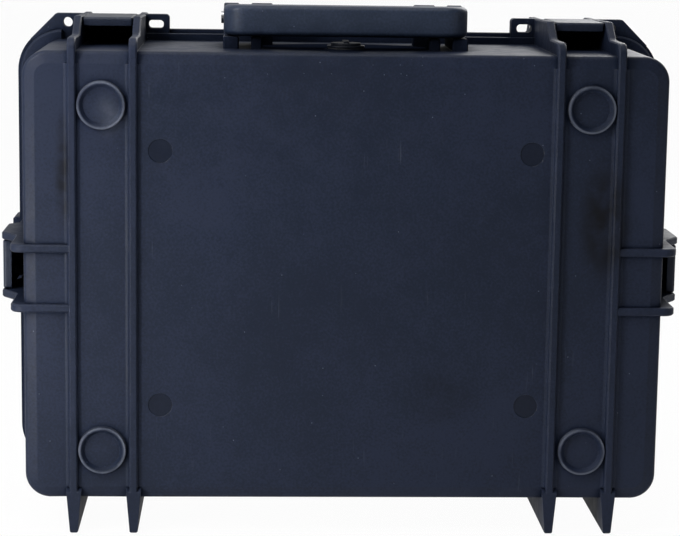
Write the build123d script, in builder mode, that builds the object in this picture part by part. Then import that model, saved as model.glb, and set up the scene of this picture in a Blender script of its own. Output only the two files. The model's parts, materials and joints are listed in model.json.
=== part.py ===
"""Moulded waterproof hard case for a laptop, closed and standing on the feet of its hinge side.

X runs across the case, Z upwards and Y through its depth: the bottom of the base faces -Y and
the outside of the lid faces +Y. The origin lies on the floor under the middle of the case.
"""

import os
from math import radians, sqrt, tan

from build123d import *

# ---------------------------------------------------------------- driving sizes, in millimetres
# Cavity and walls
inner_width = 500.0          # cavity across, at the floor of the base
inner_height = 350.0         # cavity up, at the floor of the base
base_depth = 148.0           # floor of the base to the parting plane
lid_depth = 46.0             # parting plane to the ceiling of the lid
wall = 3.5
base_draft = 0.4             # degrees of the base's side walls
lid_draft = 3.0              # degrees of the lid's side walls
corner_radius = 20.0         # upright corners at the bottom face of the base
floor_radius = 8.0           # cavity, between floor and side walls
border_width = 9.8           # sloping border round the bottom face
border_drop = 3.0
border_radius = 4.0          # rounding between the border and the side walls

# Rims, seal groove and tongue
rim_side = 17.4              # lid rim beyond the walls, left and right
rim_end = 11.1                # lid rim beyond the walls, top and bottom
rim_step = 3.2               # base rim inside the lid rim
rim_depth = 11.5             # each rim, along the depth
rim_corner = 38.0            # corner radius of the lid rim
rim_edge = 1.5
groove_inset = 1.6           # cavity edge to seal groove
groove_width = 5.0
groove_depth = 6.2
tongue_width = 2.2
tongue_height = 2.3
seal_gap = 0.3               # seal to tongue, when it isn't squeezed
seal_slack = 0.2             # seal to the groove's walls

# Ribs that wrap round both shells
rib_height = 4.0             # above the bottom face of the base
lid_rib_height = 6.0         # above the outside of the lid
rib_width = 6.5
rib_edge = 1.1               # bevel of the long edges
side_rib_sink = 0.4          # side ribs lie this much lower than the upright ones
side_ear_length = 45.0       # side ears of the base at full height, before they step down at the rim
side_ear_step = 8.4
rib_foot = 3.0               # concave foot along the upright ribs of the bottom face
strap_centre = 190.9         # middle of each pair of upright ribs, from the centre line
ear_gap = 41.1               # between the two ears of a latch
ear_proud = 24.1             # top of the ears above the wall, at the bottom face
shoulder_drop = 13.6         # ears down to the low stretch of rib in front of them
ear_start = 68.0             # bottom face to the front of the ears
ear_slope = 20.0             # length of the rise from rib to ear
ear_bend = 4.0               # rounding at both ends of the ears
ear_step_bend = 2.0
ear_fall = 1.6               # ears of the front latches sink this much towards the parting plane
strap_bend = 10.0            # where ribs turn from the bottom face to the walls

lid_ear_length = 33.0        # parting plane to the end of the lid's ears
lid_ear_slope = 11.0
lid_slope_bend = 3.0         # where the slope meets the low stretch of the lid's ribs
lid_strap_bend = 9.0
lid_border_width = 12.0      # sloping border round the outside of the lid
lid_border_drop = 4.0
lid_border_radius = 6.0

# Feet and hinge
foot_height = 28.0           # floor to the wall of the base
foot_tip_width = 6.0
foot_root_width = 12.5
foot_flare = 10.0            # flare of the feet above the lower edge of the bottom face
foot_tip_radius = 2.6
foot_edge = 1.3
fin_short = 4.0              # flared feet end this far before the base knuckles
hinge_height = 8.0           # pin axis above the floor
hinge_knuckle_radius = 8.0   # base knuckles
lid_knuckle_radius = 7.4
hinge_pin_radius = 2.5
lid_foot_start = 17.0        # parting plane to the feet of the lid
moving_gap = 0.5             # beside knuckles and levers

# Latches, in the plane of each latch: x along the depth, y outwards from the tops of the ears
lever_width = 39.5
lever_start = 67.0           # bottom face to the free end of the lever
lever_top = -0.8
lever_thickness = 3.2
lever_skirt = 7.0            # depth of the lever's skirts and of its finger lip
skirt_wall = 2.6
link_from_part = 17.5        # parting plane back to the link pin
link_drop = 6.0
link_radius = 5.2
link_pin_radius = 1.8
lever_knuckle_width = 21.0
lever_edge = 0.9
lever_nose = 2.4             # rounding at the free end of the lever
arm_run = 10.0               # length over which the lever's knuckle blends into its plate
claw_notch = 0.8             # claw beyond the hook's face, in its notch
lid_pin_from_part = 22.5     # parting plane on to the lid pin
lid_pin_drop = 9.0
lid_pin_radius = 2.2
barrel_radius = 6.0
claw_clear = 0.6             # claw above the catch
claw_thickness = 6.6
bay_drop = 14.2              # ear tops down to the lid rim, in the latch bays
catch_drop = 12.0            # ear tops down to the catches that the hooks hold
catch_short = 2.0            # catches end this far from the parting plane
catch_edge = 1.0
hook_clear = 0.3             # hook to the near face of the base rim
hook_thickness = 5.4
hook_reach = 18.0            # ear tops down to the end of the hook
running = 0.08               # radial clearance of every pin that something turns on

# Handle
handle_length = 195.5
grip_near = 38.0             # bottom face to the near side of the grip
grip_depth = 28.0
grip_height = 24.5
grip_gap = 10.4              # wall to the underside of the grip, at the near side
grip_near_corner = 17.0
grip_far_corner = 7.0
grip_edge = 4.5
core_depth = 11.0
core_height = 11.0
arm_inner = 76.2             # inside of each arm, from the centre line
arm_width = 8.8
arm_radius = 9.0
pivot_depth = 105.0          # bottom face to the pivot
pivot_rise = 22.7            # wall to the pivot, at the near side
handle_pin_radius = 3.0
lug_radius = 11.8
lug_inner = 58.0
lug_outer = 98.0
stop_inner = 67.0            # the stops under the grip start further out than the eyes
handle_pin_head = 5.0
handle_pin_head_height = 2.3
lug_gap = 0.5                # lugs to the sides of each arm
lug_near = 45.0
stop_gap = 0.6               # grip above the lugs that stop it
lug_edge = 0.9

# Padlock wings and strap loops beside the front latches
wing_thickness = 5.5
wing_top_drop = 1.6          # ear tops down to the top of wings and loops
wing_gap = 16.5              # gap in the base rim in front of each wing
hole_centre_x = 229.6
hole_centre_drop = 8.9
padlock_radius = 4.1
padlock_relief = 0.6         # wider notch for the shackle in the lid rim behind the wing
loop_outer = 144.4
loop_bar = 4.8
loop_slot_width = 12.7
loop_slot_height = 6.8
wing_bend = 3.0
loop_slot_corner = 3.0

# Purge valve in the front wall, under the grip
valve_depth = 48.0           # bottom face to the valve's axis
valve_radius = 15.0
valve_boss_margin = 1.5
valve_boss_height = 1.0      # above the wall, at the valve's axis
valve_flange = 1.6
valve_stem_radius = 8.0
valve_seal_thickness = 1.0
knob_gap = 0.2               # knob above the flange
spindle_radius = 4.0
knob_radius = 12.0
knob_height = 1.8
knob_ridge_width = 4.6
knob_ridge_height = 1.6
knob_ridge_inset = 1.5
nut_radius = 12.5
nut_thickness = 5.0
stem_proud = 1.5             # stem beyond the nut
valve_seal_width = 6.0

# Bottom face details
ring_x = 192.0
ring_rise = 275.2            # lower rings to upper rings
ring_low = 40.1              # lower edge of the bottom face to the lower rings
ring_radius = 19.2
ring_lip = 2.7
ring_draft = 6.0
root_depth = 0.5             # rings and tongue start this far inside what carries them
dish_slope = 38.0            # degrees, from the lip in to the dish's floor
dish_floor = 0.8             # floor of the dish above the bottom face
dot_x = 146.0
dot_rise = 203.0
dot_low = 76.8
dot_radius = 9.4
dot_sink = 0.4

# Foam
foam_gap = 1.0               # foam to the walls
pad_thickness = 20.0         # loose pad on the floor of the base
pocket_width = 400.0
pocket_height = 272.0
pocket_depth = 45.0
pocket_corner = 12.0
thumb_radius = 24.0          # thumb cut-outs at the pocket's long sides
cable_pocket_width = 200.0
cable_pocket_height = 40.0
cable_pocket_gap = 12.0      # foam left between the two pockets
lid_foam_thickness = 44.0
nut_clear = 3.0              # foam round the valve's nut
seal_edge = 0.6

# ---------------------------------------------------------------- places that follow from them
total_depth = rib_height + 2 * wall + base_depth + lid_depth + lid_rib_height
y_rib = -total_depth / 2                     # outer faces of the base's ribs
y_bottom = y_rib + rib_height                # bottom face of the base
y_floor = y_bottom + wall
y_part = y_floor + base_depth                # parting plane
y_ceiling = y_part + lid_depth
y_outside = y_ceiling + wall                 # outside of the lid
y_lid_rib = y_outside + lid_rib_height

outer_width = inner_width + 2 * wall         # at the bottom face
outer_height = inner_height + 2 * wall
z_low = foot_height
z_high = z_low + outer_height
z_mid = z_low + outer_height / 2
spread = (y_part - y_bottom) * tan(radians(base_draft))    # how far the walls lean out
part_half_width = outer_width / 2 + spread
part_half_height = outer_height / 2 + spread
z_ear = z_high + ear_proud
x_ear = outer_width / 2 + ear_proud
rib_offset = (ear_gap + rib_width) / 2       # each rib from the middle of its latch
lid_half_height = part_half_height - (y_outside - y_part) * tan(radians(lid_draft))
link_x = y_part - link_from_part
lid_pin_x = y_part + lid_pin_from_part


def across(y):
    """A plane square to the depth: local y is Z, and extruding goes towards the lid."""
    return Plane(origin=(0, y, 0), x_dir=(-1, 0, 0), z_dir=(0, 1, 0))


def middle(y):
    """The same plane with its origin at half the height of the case."""
    return Plane(origin=(0, y, z_mid), x_dir=(-1, 0, 0), z_dir=(0, 1, 0))


def upright(x):
    """A plane along the depth and upwards, with local x along Y."""
    return Plane.YZ.offset(x)


# Each seat is the middle plane of one latch: local x along Y, local y outwards, origin at the ear tops.
latch_seats = {
    "front_left": Plane(origin=(-strap_centre, 0, z_ear), x_dir=(0, 1, 0), z_dir=(1, 0, 0)),
    "front_right": Plane(origin=(strap_centre, 0, z_ear), x_dir=(0, 1, 0), z_dir=(1, 0, 0)),
    "side_left": Plane(origin=(-x_ear, 0, z_mid), x_dir=(0, 1, 0), z_dir=(0, 0, 1)),
    "side_right": Plane(origin=(x_ear, 0, z_mid), x_dir=(0, 1, 0), z_dir=(0, 0, -1)),
}
side_seats = [latch_seats["side_left"], latch_seats["side_right"]]
mirror_signs = (-1, 1)
pick_margin = 0.1            # either side of the place where edges are picked
os.makedirs("parts", exist_ok=True)


def write(part, name):
    """Labels a finished piece and writes it as parts/NAME.step."""
    part.label = name
    export_step(part, f"parts/{name}.step")


def edges_at(builder, y):
    """The edges of a shell that lie square to the depth at the given place."""
    return builder.edges().filter_by_position(Axis.Y, y - pick_margin, y + pick_margin)


# ---------------------------------------------------------------- outlines shared by the pieces
def base_lean(y):
    """How far the base's walls have leaned out at a given depth."""
    return (y - y_bottom) * tan(radians(base_draft))


def lid_lean(y):
    """How far the lid's walls have leaned in at a given depth."""
    return (y - y_part) * tan(radians(lid_draft))


def rib_profile_front_base(plane):
    """One rib of the base seen from the side: ear, front wall, bottom face and fin at the hinge."""
    inset = wall / 2
    with BuildSketch(plane) as outline:
        with BuildLine():
            ear = FilletPolyline(
                (y_part, z_ear - ear_fall),
                (y_bottom + ear_start, z_ear),
                (y_bottom + ear_start - ear_slope, z_ear - shoulder_drop),
                (y_rib, z_ear - shoulder_drop),
                (y_rib, 0),
                (y_part, 0),
                radius=[ear_bend, ear_slope / 2, strap_bend, foot_tip_radius],
            )
            Polyline(
                ear @ 1,
                (y_part, z_mid - part_half_height + inset),
                (y_bottom + inset, z_low + inset),
                (y_bottom + inset, z_high - inset),
                (y_part, z_mid + part_half_height - inset),
                ear @ 0,
            )
        make_face()
    return outline.sketch


def rib_profile_side_base(plane):
    """A side rib of the base in its latch plane, from the upright ribs round to the parting plane."""
    inset = wall / 2
    reach = x_ear - (strap_centre + rib_offset)
    low = ear_proud + inset
    with BuildSketch(plane) as outline:
        with BuildLine():
            ear = FilletPolyline(
                (y_part, -side_ear_step),
                (y_bottom + ear_start + side_ear_length + side_ear_step, -side_ear_step),
                (y_bottom + ear_start + side_ear_length, 0),
                (y_bottom + ear_start, 0),
                (y_bottom + ear_start - ear_slope, -shoulder_drop),
                (y_rib + side_rib_sink, -shoulder_drop),
                (y_rib + side_rib_sink, -reach),
                radius=[ear_step_bend, ear_bend, ear_bend, ear_slope / 2, strap_bend],
            )
            Polyline(
                ear @ 1,
                (y_bottom + inset, -reach),
                (y_bottom + inset, -low),
                (y_part, -low + spread),
                ear @ 0,
            )
        make_face()
    return outline.sketch


def rib_profile_front_lid(plane):
    """One rib of the lid seen from the side: ear, front wall, outside face and foot at the hinge."""
    inset = wall / 2
    with BuildSketch(plane) as outline:
        with BuildLine():
            ear = FilletPolyline(
                (y_part, z_ear - ear_fall),
                (y_part + lid_ear_length, z_ear - ear_fall),
                (y_part + lid_ear_length + lid_ear_slope, z_ear - shoulder_drop),
                (y_lid_rib, z_ear - shoulder_drop),
                (y_lid_rib, 0),
                (y_part + lid_foot_start, 0),
                radius=[ear_bend, lid_slope_bend, lid_strap_bend, foot_tip_radius],
            )
            Polyline(
                ear @ 1,
                (y_part + lid_foot_start, z_mid - part_half_height + inset),
                (y_outside - inset, z_mid - lid_half_height + inset),
                (y_outside - inset, z_mid + lid_half_height - inset),
                (y_part, z_mid + part_half_height - inset),
                ear @ 0,
            )
        make_face()
    return outline.sketch


def rib_profile_side_lid(plane):
    """A side rib of the lid in its latch plane, from the parting plane round to the upright ribs."""
    inset = wall / 2
    reach = x_ear - (strap_centre + rib_offset)
    low = x_ear - part_half_width + inset
    with BuildSketch(plane) as outline:
        with BuildLine():
            ear = FilletPolyline(
                (y_part, 0),
                (y_part + lid_ear_length, 0),
                (y_part + lid_ear_length + lid_ear_slope, -shoulder_drop),
                (y_lid_rib - side_rib_sink, -shoulder_drop),
                (y_lid_rib - side_rib_sink, -reach),
                radius=[ear_bend, lid_slope_bend, lid_strap_bend],
            )
            Polyline(
                ear @ 1,
                (y_outside - inset, -reach),
                (y_outside - inset, -low - lid_lean(y_outside)),
                (y_part, -low),
                ear @ 0,
            )
        make_face()
    return outline.sketch


def slab(plane, profile, width, edge=0.0):
    """A plate of one outline, centred on a plane, with its long edges bevelled."""
    with BuildPart(mode=Mode.PRIVATE) as plate:
        extrude(profile(plane.offset(-width / 2)), amount=width)
        if edge:
            ends = plate.faces().filter_by(GeomType.PLANE).sort_by(SortBy.AREA)[-2:]
            chamfer(ends.edges(), edge)
    return plate.part


def rounded_frame(half_width, half_height, corner, inner, outer):
    """A flat band that follows a rounded rectangle from one outward offset to another."""
    RectangleRounded(2 * (half_width + outer), 2 * (half_height + outer), corner + outer)
    RectangleRounded(
        2 * (half_width + inner), 2 * (half_height + inner), corner + inner, mode=Mode.SUBTRACT
    )


def wing_outline(plane, sign):
    """Padlock wing beside an outer ear; its slope touches the corner of the lid rim."""
    top = z_ear - wing_top_drop
    root = strap_centre + rib_offset
    centre_x = part_half_width + rim_side - rim_corner
    centre_z = z_mid + part_half_height + rim_end - rim_corner
    diagonal = rim_corner / sqrt(2)
    slope_x = centre_x + centre_z + 2 * diagonal - top
    with BuildSketch(plane) as outline:
        with BuildLine():
            FilletPolyline(
                (-sign * root, centre_z),
                (-sign * root, top),
                (-sign * slope_x, top),
                (-sign * (centre_x + diagonal), centre_z + diagonal),
                (-sign * centre_x, centre_z),
                (-sign * root, centre_z),
                radius=[0, 0, wing_bend, 0, 0],
            )
        make_face()
        with Locations((0, z_mid)):
            RectangleRounded(
                2 * part_half_width - wall,
                2 * part_half_height - wall,
                corner_radius + spread - wall / 2,
                mode=Mode.SUBTRACT,
            )
    return outline.sketch


def loop_outline(plane, sign):
    """Strap loop beside an inner ear, standing on the rim, with its slot."""
    top = z_ear - wing_top_drop
    root = strap_centre - rib_offset
    foot = z_mid + part_half_height
    slot_middle = loop_outer + loop_bar + loop_slot_width / 2
    with BuildSketch(plane) as outline:
        with BuildLine():
            FilletPolyline(
                (-sign * root, foot),
                (-sign * root, top),
                (-sign * loop_outer, top),
                (-sign * loop_outer, foot),
                (-sign * root, foot),
                radius=[0, 0, wing_bend, 0],
            )
        make_face()
        with Locations((-sign * slot_middle, top - loop_bar - loop_slot_height / 2)):
            RectangleRounded(loop_slot_width, loop_slot_height, loop_slot_corner, mode=Mode.SUBTRACT)
    return outline.sketch


def clear_hole(plane, at, radius, length):
    """Cuts a round hole along a plane's normal, centred on the plane."""
    with BuildSketch(plane.offset(-length / 2)) as hole:
        with Locations(at):
            Circle(radius)
    extrude(hole.sketch, amount=length, mode=Mode.SUBTRACT)


def padlock_hole(start, sign, radius, length):
    """Cuts the hole for a padlock's shackle, from the given depth."""
    at = (-sign * hole_centre_x, z_ear - hole_centre_drop)
    clear_hole(across(start + length / 2), at, radius, length)


def add_wings(start):
    """Both padlock wings and both strap loops, from the given depth for one wing thickness."""
    for sign in mirror_signs:
        extrude(wing_outline(across(start), sign), amount=wing_thickness)
        extrude(loop_outline(across(start), sign), amount=wing_thickness)
        padlock_hole(start, sign, padlock_radius, wing_thickness)


def rim_ring(start, step, bevelled):
    """One rim, bevelled on one face and cut down in the latch bays and between the front latches."""
    level = bay_drop + step
    with BuildPart(mode=Mode.PRIVATE) as rim:
        with BuildSketch(middle(start)):
            RectangleRounded(
                2 * (part_half_width + rim_side - step),
                2 * (part_half_height + rim_end - step),
                rim_corner - step,
            )
        extrude(amount=rim_depth)
        chamfer(rim.faces().sort_by(Axis.Y)[bevelled].edges(), rim_edge)
        with BuildSketch(middle(start)):
            RectangleRounded(2 * part_half_width - wall, 2 * part_half_height - wall, corner_radius)
        extrude(amount=rim_depth, mode=Mode.SUBTRACT)
        with BuildSketch(across(start)):
            with Locations((0, z_ear - level + bay_drop)):
                Rectangle(2 * (strap_centre - rib_offset), 2 * bay_drop)
            for sign in mirror_signs:
                with Locations((sign * strap_centre, z_ear - level + bay_drop)):
                    Rectangle(ear_gap, 2 * bay_drop)
                with Locations((sign * (x_ear - level + bay_drop), z_mid)):
                    Rectangle(2 * bay_drop, ear_gap)
        extrude(amount=rim_depth, mode=Mode.SUBTRACT)
    return rim.part


# ---------------------------------------------------------------- base
cavity_half_width = inner_width / 2 + base_depth * tan(radians(base_draft))
cavity_half_height = inner_height / 2 + base_depth * tan(radians(base_draft))
cavity_corner = corner_radius - wall + base_depth * tan(radians(base_draft))
rim_start = y_part - rim_depth
pivot_y = y_bottom + pivot_depth
z_pivot = z_high + pivot_rise
z_grip = z_high + base_lean(y_bottom + grip_near) + grip_gap
z_stop = z_grip - stop_gap
valve_y = y_bottom + valve_depth
z_valve = z_high + base_lean(valve_y) + valve_boss_height
fin_length = y_part - hinge_knuckle_radius - fin_short - y_rib


def eye_outline(plane):
    """Side view of the round eye that carries the handle's pivot, with its upright foot."""
    root = z_high - wall / 2
    back = pivot_y + lug_radius
    with BuildSketch(plane) as outline:
        with BuildLine():
            Polyline(
                (pivot_y - lug_radius, root),
                (pivot_y - lug_radius, z_pivot),
                (back, z_pivot),
                (back, root + base_lean(back)),
                close=True,
            )
        make_face()
        with Locations((pivot_y, z_pivot)):
            Circle(lug_radius)
    return outline.sketch


def stop_outline(plane):
    """Side view of the low stop under the grip, with its slope up to the pivot eye."""
    root = z_high - wall / 2
    rise = lug_radius / sqrt(2)
    slope_start = pivot_y - rise - (z_pivot + rise - z_stop)
    with BuildSketch(plane) as outline:
        with BuildLine():
            Polyline(
                (y_bottom + lug_near, root),
                (y_bottom + lug_near, z_stop),
                (slope_start, z_stop),
                (pivot_y - rise, z_pivot + rise),
                (pivot_y, z_pivot),
                (pivot_y, root),
                close=True,
            )
        make_face()
    return outline.sketch


def foot_side_outline(plane):
    """Side view of one flared foot, from its flare on the bottom face back towards the hinge."""
    inset = wall / 2
    with BuildSketch(plane) as outline:
        with BuildLine():
            FilletPolyline(
                (y_rib + fin_length, 0),
                (y_rib, 0),
                (y_rib, z_low + foot_flare - rib_height),
                (y_bottom + inset, z_low + foot_flare),
                (y_bottom + inset, z_low + inset),
                (y_rib + fin_length, z_low - base_lean(y_rib + fin_length) + inset),
                (y_rib + fin_length, 0),
                radius=[0, foot_tip_radius, 0, 0, 0, 0],
            )
        make_face()
    return outline.sketch


def flared_foot(x):
    """A foot that is thin at its tip and thick where it leaves the bottom of the base."""
    with BuildPart(mode=Mode.PRIVATE) as foot:
        with BuildSketch(across(y_rib)):
            with BuildLine():
                Polyline(
                    (-x - foot_tip_width / 2, 0),
                    (-x + foot_tip_width / 2, 0),
                    (-x + foot_root_width / 2, z_low + foot_flare),
                    (-x - foot_root_width / 2, z_low + foot_flare),
                    close=True,
                )
            make_face()
        extrude(amount=fin_length)
        chamfer(foot.edges().filter_by(Axis.Y), foot_edge)
        extrude(
            foot_side_outline(upright(x - foot_root_width)),
            amount=2 * foot_root_width,
            mode=Mode.INTERSECT,
        )
    return foot.part


def concave_foot(x):
    """Foot of an upright rib on the bottom face, hollow like the fillet of a moulding."""
    near = rib_width / 2
    bend = rib_foot * (1 - 1 / sqrt(2))
    with BuildPart(mode=Mode.PRIVATE) as foot:
        with BuildSketch(Plane.XY.offset(z_low + foot_flare)):
            with BuildLine():
                Polyline(
                    (x - near - rib_foot, y_floor - wall / 2),
                    (x - near - rib_foot, y_bottom),
                    (x - near - bend, y_bottom - bend),
                    (x - near, y_bottom - rib_foot),
                    (x + near, y_bottom - rib_foot),
                    (x + near + bend, y_bottom - bend),
                    (x + near + rib_foot, y_bottom),
                    (x + near + rib_foot, y_floor - wall / 2),
                    close=True,
                )
            make_face()
        extrude(amount=z_high - border_width - z_low - foot_flare)
    return foot.part


with BuildPart() as base_shell:
    # Drafted tub with a sloping border round its bottom face
    with BuildSketch(middle(y_bottom)):
        RectangleRounded(outer_width, outer_height, corner_radius)
    extrude(amount=y_part - y_bottom, taper=-base_draft)
    face = base_shell.faces().sort_by(Axis.Y)[0]
    chamfer(face.edges(), border_width, border_drop, reference=face)
    border_edge = y_bottom + border_drop
    fillet(edges_at(base_shell, border_edge), border_radius)
    with BuildSketch(middle(y_floor)):
        RectangleRounded(inner_width, inner_height, corner_radius - wall)
    extrude(amount=base_depth, taper=-base_draft, mode=Mode.SUBTRACT)
    fillet(edges_at(base_shell, y_floor), floor_radius)

    # Rim round the opening, with its near edge bevelled
    add(rim_ring(rim_start, rim_step, 0))

    # Gaps in the rim in front of the padlock wings
    gap_start = strap_centre + rib_offset
    gap_end = gap_start + rib_width / 2 + wing_gap
    for sign in mirror_signs:
        with BuildSketch(across(rim_start)):
            with Locations((-sign * (gap_start + gap_end) / 2, z_mid + part_half_height + rim_end / 2)):
                Rectangle(gap_end - gap_start, rim_end)
        extrude(amount=rim_depth - wing_thickness, mode=Mode.SUBTRACT)

    # Ribs, ears and feet
    for sign in mirror_signs:
        for side in mirror_signs:
            x = sign * strap_centre + side * rib_offset
            add(slab(upright(x), rib_profile_front_base, rib_width, rib_edge))
            add(flared_foot(x))
            with BuildSketch(upright(x - rib_width / 2)):
                with Locations((y_part, hinge_height)):
                    Circle(hinge_knuckle_radius)
            extrude(amount=rib_width)
            add(concave_foot(x))
    for seat in side_seats:
        for side in mirror_signs:
            add(slab(seat.offset(side * rib_offset), rib_profile_side_base, rib_width, rib_edge))

    # Catches that the latch hooks hold, one between each pair of ears
    for seat in latch_seats.values():
        with BuildSketch(seat.offset(-ear_gap / 2 - rib_width / 2)):
            with BuildLine():
                FilletPolyline(
                    (rim_start, -ear_proud + spread - wall / 2),
                    (rim_start, -catch_drop),
                    (y_part - catch_short, -catch_drop),
                    (y_part - catch_short, -ear_proud + spread - wall / 2),
                    (rim_start, -ear_proud + spread - wall / 2),
                    radius=[0, catch_edge, catch_edge, 0],
                )
            make_face()
        extrude(amount=ear_gap + rib_width)

    add_wings(y_part - wing_thickness)

    # Handle lugs and the valve's flat boss on the front wall
    arm_slot = (arm_inner - lug_gap, arm_inner + arm_width + lug_gap)
    lug_spans = (
        (eye_outline, lug_inner, arm_slot[0]),
        (eye_outline, arm_slot[1], lug_outer),
        (stop_outline, stop_inner, arm_slot[0]),
        (stop_outline, arm_slot[1], lug_outer),
    )
    for sign in mirror_signs:
        for outline, near, far in lug_spans:
            add(slab(upright(sign * (near + far) / 2), outline, far - near, lug_edge))
    with BuildSketch(Plane.XY.offset(z_high - wall / 2)):
        with Locations((0, valve_y)):
            Circle(valve_radius + valve_boss_margin)
    extrude(amount=z_valve - z_high + wall / 2)

    # Stacking rings
    for ring_z in (z_low + ring_low, z_low + ring_low + ring_rise):
        for sign in mirror_signs:
            with BuildSketch(Plane(origin=(sign * ring_x, y_bottom + root_depth, ring_z), z_dir=(0, -1, 0))):
                Circle(ring_radius)
            extrude(amount=rib_height + root_depth, taper=ring_draft)
            with BuildSketch(Plane(origin=(sign * ring_x, y_rib, ring_z), z_dir=(0, 1, 0))):
                Circle(ring_radius - ring_lip)
            extrude(amount=rib_height - dish_floor, taper=dish_slope, mode=Mode.SUBTRACT)

    # Shallow dots left by the mould
    for dot_z in (z_low + dot_low, z_low + dot_low + dot_rise):
        for sign in mirror_signs:
            with BuildSketch(Plane(origin=(sign * dot_x, y_bottom, dot_z), z_dir=(0, 1, 0))):
                Circle(dot_radius)
            extrude(amount=dot_sink, mode=Mode.SUBTRACT)

    # Tongue that presses on the seal
    tongue_start = groove_inset + (groove_width - tongue_width) / 2
    with BuildSketch(middle(y_part - root_depth)):
        rounded_frame(
            cavity_half_width, cavity_half_height, cavity_corner, tongue_start, tongue_start + tongue_width
        )
    extrude(amount=tongue_height + root_depth)

    # Bores
    for sign in mirror_signs:
        clear_hole(
            upright(sign * strap_centre), (y_part, hinge_height), hinge_pin_radius, 2 * ear_gap
        )
        clear_hole(
            upright(sign * (lug_inner + lug_outer) / 2),
            (pivot_y, z_pivot),
            handle_pin_radius,
            2 * (lug_outer - lug_inner),
        )
    clear_hole(Plane.XY.offset(z_valve), (0, valve_y), valve_stem_radius, 4 * wall)
write(base_shell.part, "base_shell")


# ---------------------------------------------------------------- lid
def lid_knuckle_outline(plane):
    """Lid knuckle round the hinge pin, with the gusset that carries it up to the lid's wall."""
    root = z_mid - part_half_height + wall / 2
    touch = lid_knuckle_radius / sqrt(2)
    reach = root - hinge_height + 2 * touch
    with BuildSketch(plane) as outline:
        with BuildLine():
            Polyline(
                (y_part, hinge_height),
                (y_part, root),
                (y_part + reach, root),
                (y_part + touch, hinge_height - touch),
                close=True,
            )
        make_face()
        with Locations((y_part, hinge_height)):
            Circle(lid_knuckle_radius)
    return outline.sketch


with BuildPart() as lid_shell:
    # Drafted shell with a sloping border round its outside
    with BuildSketch(middle(y_part)):
        RectangleRounded(2 * part_half_width, 2 * part_half_height, corner_radius + spread)
    extrude(amount=y_outside - y_part, taper=lid_draft)
    outside = lid_shell.faces().sort_by(Axis.Y)[-1]
    chamfer(outside.edges(), lid_border_width, lid_border_drop, reference=outside)
    border_edge = y_outside - lid_border_drop
    fillet(edges_at(lid_shell, border_edge), lid_border_radius)
    with BuildSketch(middle(y_part)):
        RectangleRounded(2 * cavity_half_width, 2 * cavity_half_height, cavity_corner)
    extrude(amount=lid_depth, taper=lid_draft, mode=Mode.SUBTRACT)
    fillet(edges_at(lid_shell, y_ceiling), floor_radius)

    # Rim with its far edge bevelled, notched where the base knuckles turn
    add(rim_ring(y_part, 0, -1))
    for sign in mirror_signs:
        for side in mirror_signs:
            clear_hole(
                upright(sign * strap_centre + side * rib_offset),
                (y_part, hinge_height),
                hinge_knuckle_radius + moving_gap,
                rib_width + 2 * moving_gap,
            )

    # Ribs, ears and the feet that rest on the floor
    for sign in mirror_signs:
        for side in mirror_signs:
            x = sign * strap_centre + side * rib_offset
            add(slab(upright(x), rib_profile_front_lid, rib_width, rib_edge))
    for seat in side_seats:
        for side in mirror_signs:
            add(slab(seat.offset(side * rib_offset), rib_profile_side_lid, rib_width, rib_edge))

    add_wings(y_part)
    behind_wing = y_part + wing_thickness
    for sign in mirror_signs:
        padlock_hole(behind_wing, sign, padlock_radius + padlock_relief, rim_depth - wing_thickness)

    # Hinge knuckles between the fins of the base
    for sign in mirror_signs:
        half = ear_gap / 2 - moving_gap
        extrude(lid_knuckle_outline(upright(sign * strap_centre - half)), amount=2 * half)

    # Groove for the seal
    with BuildSketch(middle(y_part)):
        rounded_frame(
            cavity_half_width, cavity_half_height, cavity_corner, groove_inset, groove_inset + groove_width
        )
    extrude(amount=groove_depth, mode=Mode.SUBTRACT)

    # Bores for the hinge pins and for the pins of the latches
    for sign in mirror_signs:
        clear_hole(
            upright(sign * strap_centre),
            (y_part, hinge_height),
            hinge_pin_radius + running,
            2 * ear_gap,
        )
    for seat in latch_seats.values():
        clear_hole(seat, (lid_pin_x, -lid_pin_drop), lid_pin_radius, ear_gap + 2 * rib_width)
write(lid_shell.part, "lid_shell")

with BuildPart() as lid_seal:
    seal_thickness = groove_depth - tongue_height - seal_gap
    with BuildSketch(middle(y_part + groove_depth - seal_thickness)):
        rounded_frame(
            cavity_half_width,
            cavity_half_height,
            cavity_corner,
            groove_inset + seal_slack,
            groove_inset + groove_width - seal_slack,
        )
    extrude(amount=seal_thickness)
    chamfer(lid_seal.faces().sort_by(Axis.Y)[0].edges(), seal_edge)
write(lid_seal.part, "lid_seal")

for side, sign in (("left", -1), ("right", 1)):
    with BuildPart() as hinge_pin:
        with BuildSketch(upright(sign * strap_centre - rib_offset - rib_width / 2)):
            with Locations((y_part, hinge_height)):
                Circle(hinge_pin_radius)
        extrude(amount=2 * rib_offset + rib_width)
    write(hinge_pin.part, f"hinge_pin_{side}")


# ---------------------------------------------------------------- latches
hook_x = rim_start - hook_clear              # face of the hook that bears on the base rim
lever_end = link_x - link_radius - moving_gap
claw_low = -catch_drop + claw_clear


def claw_outline(plane):
    """Side view of a claw: knuckles on the link pin, plate over the rims, barrel on the lid pin."""
    with BuildSketch(plane) as outline:
        with BuildLine():
            Polyline(
                (link_x, -link_drop - link_radius),
                (rim_start, claw_low),
                (lid_pin_x, claw_low),
                (lid_pin_x, claw_low + claw_thickness),
                (link_x, claw_low + claw_thickness),
                close=True,
            )
        make_face()
        with Locations((link_x, -link_drop)):
            Circle(link_radius)
        with Locations((lid_pin_x, -lid_pin_drop)):
            Circle(barrel_radius)
    return outline.sketch


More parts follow.
